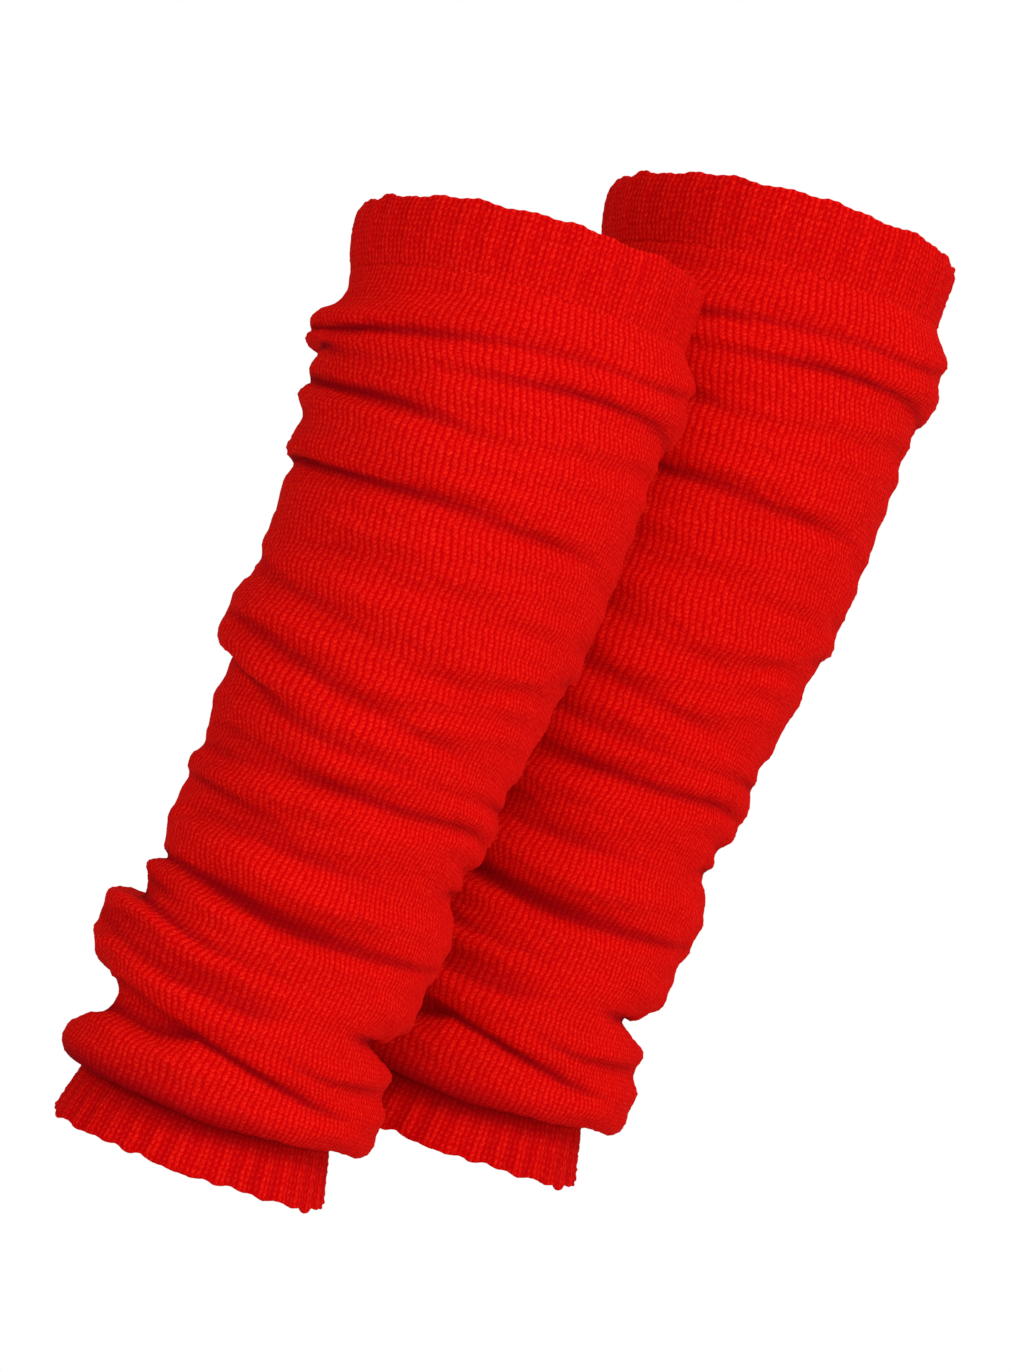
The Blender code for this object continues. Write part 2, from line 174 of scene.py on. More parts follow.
# How deep each crease is drawn in from the rolls on both sides of it. At 0 it has faded out.
TUCKS = {
    "under_cuff": Round(3.0, 5.2, 3.3, 2.8, 2.8, 2.6, 1.3, 4.0, 5.0, 5.0),
    "double_roll": Round(8.0, 0.4, 0.7, 2.5, 3.9, 1.8, 0.6, 4.0, 4.0, 6.0),
    "upper_calf": Round(3.0, 4.5, 4.7, 1.6, 1.3, 0.3, 0.0, 2.0, 5.0, 5.0),
    "shin_dimple": Round(1.6, 0.0, 0.0, 0.0, 0.0, 0.0, 0.0, 1.0, 2.0, 2.5),
    "calf": Round(2.5, 5.5, 5.4, 4.0, 3.0, 1.4, 0.5, 2.5, 4.5, 5.0),
    "calf_soft": Round(1.0, 1.2, 2.6, 2.6, 2.0, 1.4, 1.6, 3.0, 3.0, 2.0),
    "mid_soft": Round(0.6, 1.8, 2.4, 1.8, 2.2, 0.2, 1.2, 3.0, 4.0, 2.5),
    "mid_sloping": Round(0.5, 2.6, 3.6, 2.5, 2.2, 1.0, 0.3, 1.5, 2.5, 1.5),
    "mid_lower": Round(4.5, 3.0, 2.2, 1.0, 0.6, 1.0, 2.4, 3.5, 3.0, 4.0),
    "shin_line": Round(0.8, 3.4, 3.3, 4.5, 3.5, 2.2, 0.3, 2.0, 4.0, 3.0),
    "hollow": Round(1.2, 4.0, 4.6, 3.6, 1.8, 1.2, 2.7, 4.0, 3.5, 3.0),
    "deep_line": Round(5.5, 3.1, 6.8, 8.4, 5.2, 2.4, 1.2, 5.0, 5.5, 6.0),
    "shelf": Round(8.5, 2.4, 2.2, 1.5, 0.5, 0.0, 0.0, 1.0, 3.0, 6.0),
    "notch": Round(1.2, 2.5, 3.0, 2.8, 0.0, 4.3, 12.0, 7.0, 4.0, 2.0),
    "outer_ankle": Round(0.0, 0.0, 0.0, 1.5, 2.7, 2.0, 0.6, 3.0, 1.0, 0.0),
    "ankle_hollow": Round(10.5, 4.2, 5.2, 4.5, 3.2, 0.4, 0.0, 1.5, 6.0, 9.0),
}

# How far a roll's lip hangs over the crease under it: 1 for an overhang, 0 for an open valley.
HANGS = {
    "under_cuff": 0.9,
    "double_roll": 1.0,
    "upper_calf": 0.5,
    "shin_dimple": 0.0,
    "calf": 0.8,
    "calf_soft": 0.2,
    "mid_soft": 0.1,
    "mid_sloping": 0.2,
    "mid_lower": 0.9,
    "shin_line": 0.8,
    "hollow": 0.9,
    "deep_line": 0.8,
    "shelf": 0.0,
    "notch": 0.5,
    "outer_ankle": 0.1,
    "ankle_hollow": 0.6,
    "over_cuff": 1.0,
}

# Breadth of a crease's floor, where it is a hollow and not a line.
FLOORS = {
    "upper_calf": Round(1.0, 2.2, 3.0, 1.6, 1.0, 1.0, 1.0, 1.0, 1.0, 1.0),
    "mid_sloping": Round(4.0, 3.5, 2.0, 1.0, 1.0, 1.0, 1.0, 1.0, 1.0, 2.0),
    "shin_line": Round(10.0, 11.0, 8.5, 1.2, 1.6, 3.0, 1.0, 1.0, 2.0, 6.0),
    "hollow": Round(11.0, 12.8, 11.2, 6.6, 3.0, 1.0, 1.0, 1.0, 3.0, 7.0),
    "deep_line": Round(1.0, 1.0, 4.0, 4.8, 4.4, 2.0, 1.0, 1.0, 1.0, 1.0),
    "notch": Round(5.5, 10.2, 11.2, 7.2, 2.0, 1.0, 1.0, 1.0, 2.0, 4.0),
    "ankle_hollow": Round(18.0, 12.0, 8.0, -4.0, 1.2, 1.2, 1.2, 1.5, 4.0, 14.0),
}

# How far such a floor draws in towards its foot, for each millimetre down it.
FLOOR_FALLS = {
    "hollow": Round(-0.06, -0.06, 0.0, 0.18, 0.3, 0.0, 0.0, 0.0, 0.0, -0.06),
    "notch": Round(*[0.06] * 10),
    "ankle_hollow": Round(*[0.06] * 10),
}


class Roll(NamedTuple):
    """The roll under a crease. Its shoulder and belly lie at shares of its height, and reach out from the
    leg's line by so much to the left, front and right."""

    shoulder_at: float
    belly_at: float
    shoulder: tuple
    belly: tuple


ROLLS = {
    "top_seam": Roll(0.38, 0.8, (60.5, 66.2, 75.0), (70.0, 66.9, 78.8)),
    "under_cuff": Roll(0.35, 0.75, (69.0, 70.0, 79.5), (68.5, 71.5, 79.5)),
    "double_roll": Roll(0.35, 0.70, (63.0, 70.5, 75.0), (64.0, 71.5, 75.5)),
    "upper_calf": Roll(0.3, 0.65, (64.0, 70.5, 75.5), (61.8, 71.5, 76.0)),
    "shin_dimple": Roll(0.3, 0.7, (60.0, 71.5, 76.0), (61.0, 72.5, 76.0)),
    "calf": Roll(0.30, 0.70, (57.5, 69.5, 76.0), (57.0, 70.5, 76.0)),
    "calf_soft": Roll(0.38, 0.75, (57.5, 68.5, 75.5), (55.0, 69.0, 75.0)),
    "mid_soft": Roll(0.36, 0.72, (59.5, 66.0, 70.5), (61.3, 67.5, 68.0)),
    "mid_sloping": Roll(0.30, 0.78, (61.5, 64.0, 65.5), (60.5, 65.5, 65.0)),
    "mid_lower": Roll(0.35, 0.62, (53.5, 62.0, 66.0), (53.5, 64.0, 66.5)),
    "shin_line": Roll(0.25, 0.55, (52.6, 60.3, 64.0), (54.2, 61.5, 61.0)),
    "hollow": Roll(0.18, 0.65, (54.5, 58.5, 60.5), (53.0, 60.5, 65.0)),
    "deep_line": Roll(0.22, 0.62, (56.0, 58.3, 63.0), (53.0, 57.9, 61.7)),
    "shelf": Roll(0.14, 0.6, (66.5, 58.2, 62.0), (67.0, 58.2, 59.0)),
    "notch": Roll(0.35, 0.72, (66.8, 58.0, 57.5), (65.8, 58.9, 61.0)),
    "outer_ankle": Roll(0.3, 0.6, (62.0, 57.0, 61.0), (58.0, 55.3, 63.5)),
    "ankle_hollow": Roll(0.13, 0.45, (62.0, 56.5, 64.0), (63.3, 58.0, 64.0)),
}

# A cuff's reach to the left, front and right, by the share of its height from its upper edge.
TOP_CUFF = {
    0.0: (66.0, 65.5, 69.0),
    0.14: (67.0, 66.2, 70.0),
    0.56: (65.5, 66.5, 70.0),
    1.0: (61.5, 66.0, 70.5),
}
ANKLE_CUFF = {
    0.0: (52.0, 49.5, 47.5),
    0.3: (53.5, 51.0, 49.5),
    0.68: (55.5, 52.8, 51.5),
    1.0: (57.0, 54.5, 53.5),
}

# How far the middle of the leg lies from its straight line, towards the calf side, by height.
CENTRE_LINE = {15.0: 2.0, -100.0: 9.0, -180.0: 7.0, -250.0: 4.0, -330.0: 1.0, -385.0: -2.0}

# How far the wales have drifted to the calf side at the front, by height. The cloth hangs straight down and
# the leg leans, so they go a little further at each roll.
DRIFTS = {
    -40.0: 0.0, -57.0: 4.5, -75.0: 9.0, -110.0: 9.5, -135.0: 14.0, -150.0: 14.0, -165.0: 17.5,
    -200.0: 18.0, -360.0: 19.0,
}


class Ribbing(NamedTuple):
    """How a cuff is ribbed."""

    length: float  # laid flat, in metres
    wales: int  # in a rib
    lie: float  # how far half of them are sunk in the stitches' relief
    opening: float  # how much of the gaps between them is open
    groove_shade: float
    seam: int  # the end of the UV map that is at the seam


RIBBING = {
    "top": Ribbing(0.028, 5, 0.055, 0.7, 0.06, 0),
    "ankle": Ribbing(0.021, 4, 0.12, 0.1, 0.17, 1),
}


def round_the_leg(row, angles):
    """A smooth closed curve through a row's values, read at these angles."""
    turn = 2 * math.pi
    knots = np.radians(STATIONS)
    knots = np.concatenate([knots - turn, knots, knots + turn])
    values = np.tile(row, 3)
    slopes = np.gradient(values, knots)
    angles = np.mod(angles + math.pi / 2, turn) - math.pi / 2
    i = np.searchsorted(knots, angles, side="right") - 1
    span = knots[i + 1] - knots[i]
    t = (angles - knots[i]) / span
    rise = 3 * t**2 - 2 * t**3
    start = (t**3 - 2 * t**2 + t) * span * slopes[i]
    end = (t**3 - t**2) * span * slopes[i + 1]
    return values[i] * (1 - rise) + values[i + 1] * rise + start + end


def by_height(table, heights):
    """Values read off a table at these heights."""
    return np.interp(heights, *zip(*sorted(table.items())))


def reach_round(reach, angles):
    """The reach at each angle, as the two half widths and the front or back depth of an oval section."""
    left, front, right = reach
    back = BACK_SHARE * (left + right) / 2
    across = np.where(np.sin(angles) < 0, left, right)
    depth = np.where(np.cos(angles) > 0, front, back)
    return across, depth


def ring(heights, reaches, inwards, angles):
    """One ring of points, drawn in from an oval section by so much at each angle."""
    across, depth = reaches
    centre = by_height(CENTRE_LINE, heights)
    half = across + np.where(np.sin(angles) < 0, centre, -centre)
    x = centre + (half - inwards) * np.sin(angles)
    y = -(depth - inwards) * np.cos(angles)
    return np.stack([x, y, heights], axis=1)


def mix(a, b, share):
    """A share of the way from one set of reaches to another."""
    return tuple((1 - share) * p + share * q for p, q in zip(a, b))


def risen(value, start, length):
    """From 0 to 1, as the value goes on from its start over this length."""
    return np.clip((value - start) / length, 0.0, 1.0)


def leg_rings(angles):
    """The rings of the plain-knit leg. Its two ends are tucked a little way under the cuffs."""
    none = np.zeros(len(angles))
    names = list(ROLLS)
    lines = {name: round_the_leg(row, angles) for name, row in CREASES.items()}
    lines["top_seam"] = round_the_leg(TOP_SEAM, angles) - SEAM_GAP / 2
    top = reach_round(TOP_CUFF[1.0], angles)
    rings = [
        ring(lines["top_seam"] + LEG_UP_UNDER_CUFF, top, none + LEG_IN_UNDER_CUFF, angles),
        ring(lines["top_seam"], top, none, angles),
    ]
    valley, tuck = top, none
    to_side = np.sin(angles) ** 2
    for name, below in zip(names, names[1:] + ["over_cuff"]):
        roll = ROLLS[name]
        shoulder, belly = reach_round(roll.shoulder, angles), reach_round(roll.belly, angles)
        upper = lines[name]
        if name in FLOORS:
            floor = np.maximum(round_the_leg(FLOORS[name], angles), 1.0)
            upper = upper - floor
            fall = round_the_leg(FLOOR_FALLS[name], angles) if name in FLOOR_FALLS else none
            rings.append(ring(upper, valley, tuck + fall * (floor - 1.0), angles))
        height = upper - lines[below]
        rings.append(ring(upper - roll.shoulder_at * height, shoulder, none, angles))
        in_front = 1 - to_side if below in ROLLS else none
        belly_at = roll.belly_at - EARLY_BELLY * in_front
        rings.append(ring(upper - belly_at * height, belly, none, angles))
        if below in ROLLS:
            valley = mix(belly, reach_round(ROLLS[below].shoulder, angles), 0.5)
            tuck = np.maximum(round_the_leg(TUCKS[below], angles), 0.0)
        else:
            valley = reach_round(ANKLE_CUFF[0.0], angles)
            tuck = none
        bottom = tuple(v - tuck for v in valley)
        drop = (belly[0] - bottom[0]) * to_side + (belly[1] - bottom[1]) * (1 - to_side)
        drop = np.maximum(drop, 0.0)
        overhang = HANGS[below] * (1 - (1 - FRONT_HANG) * np.sqrt(in_front))
        hang = overhang * drop / (drop + SOFT_TUCK)
        lip = mix(belly, bottom, OPEN_LIP + (HANGING_LIP - OPEN_LIP) * overhang)
        rings.append(ring(lines[below] + (1 - hang) * LIP_RISE * height, lip, none, angles))
        rise = np.minimum(CREASE_RISE * drop, np.minimum(MOST_RISE, MOST_RISE_SHARE * height))
        rings.append(ring(lines[below] + overhang * rise, valley, tuck, angles))
    rings.append(ring(lines["over_cuff"] + SEAM_GAP / 2, valley, none, angles))
    return np.array(rings)


def cuff_rings(sections, upper, lower, angles):
    """The smooth rings of a cuff between two edges."""
    rings = []
    for share, reach in sections.items():
        heights = upper + share * (lower - upper)
        rings.append(ring(heights, reach_round(reach, angles), np.zeros(len(angles)), angles))
    return np.array(rings)


def turns(count):
    """Evenly spaced angles once round the leg."""
    return np.arange(count) * 2 * math.pi / count


def apart(a, b):
    return np.linalg.norm(b - a, axis=-1, keepdims=True)


def steps(rows):
    """How far each point is from the one in the next row."""
    return np.linalg.norm(np.diff(rows, axis=0), axis=2)


def unit(vectors):
    return vectors / np.maximum(np.linalg.norm(vectors, axis=-1, keepdims=True), 1e-9)


def smooth_rows(rings, counts):
    """Rows of points along a centripetal spline through the rings, so many to each stretch."""
    padded = np.concatenate([2 * rings[:1] - rings[1:2], rings, 2 * rings[-1:] - rings[-2:-1]])
    rows = []
    for i, count in enumerate(counts):
        p0, p1, p2, p3 = padded[i : i + 4]
        t1 = np.sqrt(apart(p0, p1)) + 1e-6
        t2 = t1 + np.sqrt(apart(p1, p2)) + 1e-6
        t3 = t2 + np.sqrt(apart(p2, p3)) + 1e-6
        for k in range(count):
            t = t1 + (t2 - t1) * k / count
            a = p0 * (t1 - t) / t1 + p1 * t / t1
            b = p1 * (t2 - t) / (t2 - t1) + p2 * (t - t1) / (t2 - t1)
            c = p2 * (t3 - t) / (t3 - t2) + p3 * (t - t2) / (t3 - t2)
            d = a * (t2 - t) / t2 + b * t / t2
            e = b * (t3 - t) / (t3 - t1) + c * (t - t1) / (t3 - t1)
            rows.append(d * (t2 - t) / (t2 - t1) + e * (t - t1) / (t2 - t1))
    rows.append(rings[-1])
    return np.array(rows)


def counts_for(rings, total):
    """How many rows each stretch between two rings gets, by its mean length, for about this total."""
    lengths = steps(rings).mean(axis=1)
    spacing = lengths.sum() / total
    while True:
        counts = np.maximum(np.round(lengths / spacing), 1).astype(int)
        if counts.sum() <= total:
            return counts
        spacing *= 1.01


def cloth_shares(rows):
    """How far down its own column's length of cloth each point lies, from 0 to 1."""
    lengths = np.concatenate([np.zeros((1, rows.shape[1])), np.cumsum(steps(rows), axis=0)])
    return lengths / lengths[-1]


def evenly_down(rows, count):
    """So many rows, evenly spaced down each column's own length of cloth."""
    shares = cloth_shares(rows)
    even = np.linspace(0.0, 1.0, count)
    columns = [
        [np.interp(even, shares[:, c], rows[:, c, k]) for k in range(3)] for c in range(rows.shape[1])
    ]
    return np.moveaxis(np.array(columns), 2, 0)


def rounded_over(rows, softness):
    """Evenly spaced rows with their bends rounded over about this many millimetres down the leg."""
    spacing = steps(rows).mean()
    reach = math.ceil(3 * softness / spacing)
    weights = np.exp(-0.5 * (np.arange(-reach, reach + 1) * spacing / softness) ** 2)
    above = 2 * rows[:1] - rows[reach:0:-1]
    below = 2 * rows[-1:] - rows[-2 : -reach - 2 : -1]
    padded = np.concatenate([above, rows, below])
    return sum(w * padded[k : k + len(rows)] for k, w in enumerate(weights / weights.sum()))


def softened(rows, count, angles):
    """So many rows of the form with softer creases, as brushed yarn bends, but crisper at the sides."""
    even = evenly_down(rows, 2 * count - 1)
    front = rounded_over(even, FRONT_SOFTNESS)
    side = rounded_over(even, SIDE_SOFTNESS)
    lowest = risen(np.linspace(0.0, 1.0, len(even)), CRISP_FROM, CRISP_WITHIN)
    crisp = np.maximum((np.sin(angles) ** 4)[None, :, None], lowest[:, None, None])
    return (front * (1 - crisp) + side * crisp)[::2]


def laid_along(rows, angles):
    """Points of evenly turned rows, read at these angles, one row of angles for each row of points."""
    count = rows.shape[1]
    place = np.mod(angles / (2 * math.pi), 1.0) * count
    low = np.floor(place).astype(int) % count
    part = (place - np.floor(place))[..., None]
    across = np.arange(len(rows))[:, None]
    return rows[across, low] * (1 - part) + rows[across, (low + 1) % count] * part


def outward(rows):
    """Unit normals of a closed grid of points, pointing away from the leg."""
    along = np.gradient(rows, axis=0)
    around = np.roll(rows, -1, axis=1) - np.roll(rows, 1, axis=1)
    return unit(np.cross(along, around))


def drawn_in(rings, wall):
    """The points of the cloth's other face, a wall's thickness in from these."""
    along = unit(np.diff(rings, axis=0))
    before = np.concatenate([along[:1], along])
    after = np.concatenate([along, along[-1:]])
    around = np.roll(rings, -1, axis=1) - np.roll(rings, 1, axis=1)
    normals = unit(np.cross(before + after, around))
    lean = (normals * unit(np.cross(after, around))).sum(axis=2, keepdims=True)
    return rings - normals * wall / np.maximum(lean, SHARPEST_TURN)


class Ripple(NamedTuple):
    """A family of soft waves over the cloth: how many there are, their height in millimetres, and the fewest
    and most of them that go round the leg and down it."""

    waves: int
    height: float
    least_round: int
    most_round: int
    least_down: float
    most_down: float


WRINKLES = Ripple(16, 0.48, 1, 6, 14.0, 34.0)  # soft and level, between the creases
WANDER = Ripple(14, 0.35, 2, 9, 8.0, 26.0)  # of the wales to either side
UNEVEN = Ripple(12, 0.16, 14, 40, 30.0, 70.0)  # small dents
UNEVEN_IN_CUFF = 0.12  # a cuff's length, as a share of the one that those dents are drawn for
RIB_SLACK = Ripple(6, 0.3, 2, 9, 0.0, 0.4)  # around RIB_DEEP, of the ribs' depth
RIB_DEEP = 0.7
RIB_AT_SEAM = 0.25  # a rib's depth at the seam, as a share
HEM_WAVES = Ripple(9, 0.45, 7, 30, 0.0, 0.1)


def rippled(ripple, angles, shares, seed):
    """The sum of a family of waves, over angles round the leg and shares of its length."""
    draw = np.random.default_rng(seed)
    total = np.zeros(np.broadcast(angles, shares).shape)
    for _ in range(ripple.waves):
        turns_round = draw.integers(ripple.least_round, ripple.most_round + 1) * draw.choice([-1, 1])
        down = draw.uniform(ripple.least_down, ripple.most_down)
        phase = draw.uniform(0, 2 * math.pi)
        total += np.sin(turns_round * angles + 2 * math.pi * down * shares + phase)
    return total * ripple.height / math.sqrt(ripple.waves / 2)


def in_place(points, side, lean):
    """Points of a leg warmer's own frame, moved to its place in the pair, in metres."""
    half = np.array(REAR_PLACE) / 2
    x, y, z = np.moveaxis(points, -1, 0)
    leaned = np.stack(
        [x * math.cos(lean) + z * math.sin(lean), y, z * math.cos(lean) - x * math.sin(lean)], axis=-1
    )
    return (leaned + (half if side == "rear" else -half)) * MM


def strip(upper, lower, flip=False):
    """Quads between two closed rows of point numbers."""
    quads = np.stack([upper, lower, np.roll(lower, -1), np.roll(upper, -1)], axis=1)
    return quads[:, ::-1] if flip else quads


def fanned(many, few, flip):
    """Triangles between a closed row of many points and one of few."""
    triangles = []
    for i, near in enumerate(few):
        far = few[(i + 1) % len(few)]
        first, last = i * len(many) // len(few), (i + 1) * len(many) // len(few)
        edge = [many[k % len(many)] for k in range(first, last + 1)]
        middle = (last - first) // 2
        triangles += [(near, edge[k], edge[k + 1]) for k in range(middle)]
        triangles += [(near, edge[middle], far)]
        triangles += [(far, edge[k], edge[k + 1]) for k in range(middle, last - first)]
    return [t[::-1] for t in triangles] if flip else triangles


def knit_mesh(name, rows, shares, inside, inside_shares, painted_shade):
    """A closed wall of cloth: the outer rows, the inside rows and a band that joins them at each end. Its UV
    map has the turn round the leg across and the share of the cloth's length down. Its attribute crease
    holds the painted shade at each point: how far it is sunk into a crease, and the other shaded places."""
    outer = np.arange(rows.shape[0] * rows.shape[1]).reshape(rows.shape[:2])
    inner = outer.size + np.arange(inside.shape[0] * inside.shape[1]).reshape(inside.shape[:2])
    quads = [strip(a, b) for a, b in zip(outer, outer[1:])]
    quads += [strip(a, b, flip=True) for a, b in zip(inner, inner[1:])]
    if outer.shape[1] == inner.shape[1]:
        quads += [strip(outer[0], inner[0], flip=True), strip(outer[-1], inner[-1])]
        bands = []
    else:
        bands = fanned(outer[0], inner[0], False) + fanned(outer[-1], inner[-1], True)
    faces = np.concatenate(quads).tolist() + [[int(i) for i in t] for t in bands]
    points = np.concatenate([rows.reshape(-1, 3), inside.reshape(-1, 3)])
    mesh = bpy.data.meshes.new(name)
    mesh.from_pydata(points, [], faces)
    mesh.shade_smooth()

    across = np.concatenate(
        [np.tile(np.arange(g.shape[1]) / g.shape[1], g.shape[0]) for g in (outer, inner)]
    )
    down = np.concatenate([shares.reshape(-1), inside_shares.reshape(-1)])
    corners = np.concatenate(faces)
    sizes = np.array([len(face) for face in faces])
    u = across[corners]
    widest = np.repeat(np.maximum.reduceat(u, np.cumsum(sizes) - sizes), sizes)
    u = np.where((widest > 0.75) & (u < 0.25), u + 1.0, u)  # faces that close the turn
    layer = mesh.uv_layers.new(name="knit")
    layer.data.foreach_set("uv", np.stack([u, 1.0 - down[corners]], axis=1).reshape(-1).astype(np.float32))
    crease = mesh.attributes.new("crease", "FLOAT", "POINT")
    values = np.concatenate([painted_shade.reshape(-1), np.zeros(inner.size)])
    crease.data.foreach_set("value", values.astype(np.float32))
    return mesh


def painted_crease_shade(rows, normals):
    """The painted shade in a crease: how far a point is sunk below the cloth just above and below it, up to
    1 in the sharp creases.
    """
    padded = np.pad(rows, ((CREASE_SPAN, CREASE_SPAN), (0, 0), (0, 0)), mode="edge")
    around = (padded[: -2 * CREASE_SPAN] + padded[2 * CREASE_SPAN :]) / 2
    sunk = ((around - rows) * normals).sum(axis=2)
    sunk = (sunk + np.concatenate([sunk[1:], sunk[-1:]])) / 2
    return risen(sunk, *CREASE_DARKENS)


def knitted_leg(side, sizes):
    """The leg's outer rows, whose columns follow its wales, with its inside rows."""
    scale = REAR_SCALE if side == "rear" else 1.0
    rings = scale * leg_rings(turns(FORM_COLUMNS))
    form = softened(smooth_rows(rings, counts_for(rings, 3 * LEG_ROWS)), LEG_ROWS, turns(FORM_COLUMNS))
    form_shares = cloth_shares(form)
    columns = sizes.wales * LEG_COLUMNS_PER_WALE
    wales = turns(columns)[None, :] + math.pi
    down = form_shares.mean(axis=1)[:, None]
    heights = np.minimum.accumulate(form[:, DRIFT_COLUMN, 2]) / scale
    aside = by_height(DRIFTS, heights)[:, None] * np.cos(wales)
    aside = aside + rippled(WANDER, wales, down, seed=3) * risen(down, 0.0, 1 / 12)
    angles = wales + aside / MEAN_REACH
    rows = laid_along(form, angles)
    shares = laid_along(form_shares[..., None], angles)[..., 0]
    ends = risen(np.minimum(down, 1 - down), 0.0, 1 / 30)  # the relief fades out towards both ends
    normals = outward(rows)
    # Painted shade: darker in the creases, though not near the top seam, and under the last roll, most on
    # the shin side.
    painted_shade = painted_crease_shade(rows, normals) * risen(down, *SEAM_STAYS_PALE)
    painted_underside_shade = risen(down, *UNDERSIDE) * (UNDERSIDE_SHADE - UNDERSIDE_LEAN * np.sin(wales))
    painted_shade = np.maximum(painted_shade, painted_underside_shade)
    phase = 2 * math.pi * np.arange(columns) / LEG_COLUMNS_PER_WALE
    raised = -np.cos(phase)[None, :] * sizes.wale_relief / MM * (0.4 + 0.6 * ends)
    wrinkles = rippled(WRINKLES, wales, shares, seed=5) + rippled(UNEVEN, wales, shares, seed=7)
    rows = rows + normals * (raised + wrinkles * ends)[..., None]
    inside = drawn_in(scale * leg_rings(turns(INSIDE_COLUMNS) + math.pi), WALL)
    return rows, shares, inside, cloth_shares(inside), painted_shade


def rib_profile(ribs):
    """How high the cloth stands over a rib's groove, from 0 to 1, at a place counted in ribs."""
    return 0.5 + 0.5 * np.tanh(RIB_SQUARENESS * np.sin(2 * math.pi * ribs)) / math.tanh(RIB_SQUARENESS)


def cuff_form_rings(which, angles, wale, rib):
    """A cuff's smooth rings, from the seam to the hem. The seam's end goes in under the leg's cloth."""
    if which == "top":
        wave = TOP_SCALLOP * np.cos(math.pi * (wale - 1)) + rippled(HEM_WAVES, angles, 0 * angles, seed=11)
        hem = round_the_leg(TOP_HEM, angles) - WALL / 2 + wave
        seam = round_the_leg(TOP_SEAM, angles) - CUFF_UNDER_LEG[which]
        return cuff_rings(TOP_CUFF, hem, seam, angles)[::-1]
    wave = ANKLE_SCALLOP * (0.5 - rib) + rippled(HEM_WAVES, angles, 0 * angles, seed=13)
    hem = round_the_leg(ANKLE_HEM, angles) + WALL / 2 + wave
    seam = round_the_leg(CREASES["over_cuff"], angles) + CUFF_UNDER_LEG[which]
    return cuff_rings(ANKLE_CUFF, seam, hem, angles)


def rolled_over(rows, normals):
    """The rows in which a hem rolls over from the outer face to the inner one."""
    past = unit(rows[-1] - rows[-2])
    turned = math.pi * np.arange(1, RIM_STEPS + 1) / RIM_STEPS
    return np.array(
        [rows[-1] + WALL / 2 * (past * math.sin(a) - normals[-1] * (1 - math.cos(a))) for a in turned]
    )


def knitted_cuff(side, which, sizes):
    """A cuff's outer rows, with its rounded hem, and its inside rows, both from the top down."""
    scale = REAR_SCALE if side == "rear" else 1.0
    ribbing = RIBBING[which]
    deepest = (sizes.top_rib_depth if which == "top" else sizes.ankle_rib_depth) / MM
    columns = RIBS * ribbing.wales * CUFF_COLUMNS_PER_WALE
    angles = turns(columns) + math.pi + 2 * math.pi * RIB_TURN / RIBS
    wale = np.arange(columns) / CUFF_COLUMNS_PER_WALE
    rib = rib_profile(wale / ribbing.wales)
    rings = scale * cuff_form_rings(which, angles, wale, rib)
    lengths = steps(rings).mean(axis=1)
    form = smooth_rows(rings, np.maximum(np.round(lengths / CUFF_ROW_SPACING), 2).astype(int))
    shares = cloth_shares(form)
    normals = -outward(form) if which == "top" else outward(form)

    begun = risen(shares.mean(axis=1)[:, None], 0.0, 1 / 4)  # the ribs deepen from the seam on
    depth = deepest * (RIB_AT_SEAM + (1 - RIB_AT_SEAM) * begun)
    depth = depth * (RIB_DEEP + rippled(RIB_SLACK, angles[None, :], shares, seed=19))
    ridges = -np.cos(2 * math.pi * wale)[None, :] * sizes.wale_relief / MM * WALE_IN_CUFF
    dents = rippled(UNEVEN, angles[None, :], shares * UNEVEN_IN_CUFF, seed=17)
    raised = (rib - 1.0)[None, :] * depth + ridges + dents - CUFF_SUNK * (1 - begun)
    rows = form + normals * raised[..., None]

    # Painted shade in the ribs' grooves.
    painted_shade = np.clip(-raised / deepest, 0, 1) * ribbing.groove_shade
    painted_shade = np.concatenate([painted_shade, np.zeros((RIM_STEPS - 1, columns))])
    rim = rolled_over(rows, normals)
    inside = np.concatenate([(form - normals * WALL)[:-1:2], rim[-1:]])
    rows = np.concatenate([rows, rim[:-1]])
    shares = np.concatenate([shares, np.ones((RIM_STEPS - 1, columns))])
    inside_shares = cloth_shares(inside)
    if which == "top":
        return rows[::-1], 1 - shares[::-1], inside[::-1], 1 - inside_shares[::-1], painted_shade[::-1]
    # Painted shadow of the roll that hangs over the ankle cuff, faint at the sides.
    shade = CUFF_SHADE * (1 - risen(shares, *CUFF_SHADE_ENDS))
    shade = shade * (1 - (1 - CUFF_SHADE_AT_SIDES) * np.sin(angles) ** 4)
    return rows, shares, inside, inside_shares, np.maximum(painted_shade, shade)


# Materials.


def to_linear(hex_colour):
    """A colour given as sRGB hex, as Blender keeps it: linear, with full alpha."""
    channels = [int(hex_colour[k : k + 2], 16) / 255 for k in (1, 3, 5)]
    return (*(c / 12.92 if c <= 0.04045 else ((c + 0.055) / 1.055) ** 2.4 for c in channels), 1.0)


def add_node(tree, kind, inputs=(), **settings):
    """Adds a node with its settings. Its inputs come in order, or by number or name. Each is a plain value,
    a socket, or a node for its first output."""
    node = tree.nodes.new(kind)
    for name, value in settings.items():
        setattr(node, name, value)
    by_socket = inputs if isinstance(inputs, dict) else dict(enumerate(inputs))
    for socket, value in by_socket.items():
        if isinstance(value, bpy.types.Node):
            value = value.outputs[0]
        if isinstance(value, bpy.types.NodeSocket):
            tree.links.new(value, node.inputs[socket])
        else:
            node.inputs[socket].default_value = value
    return node


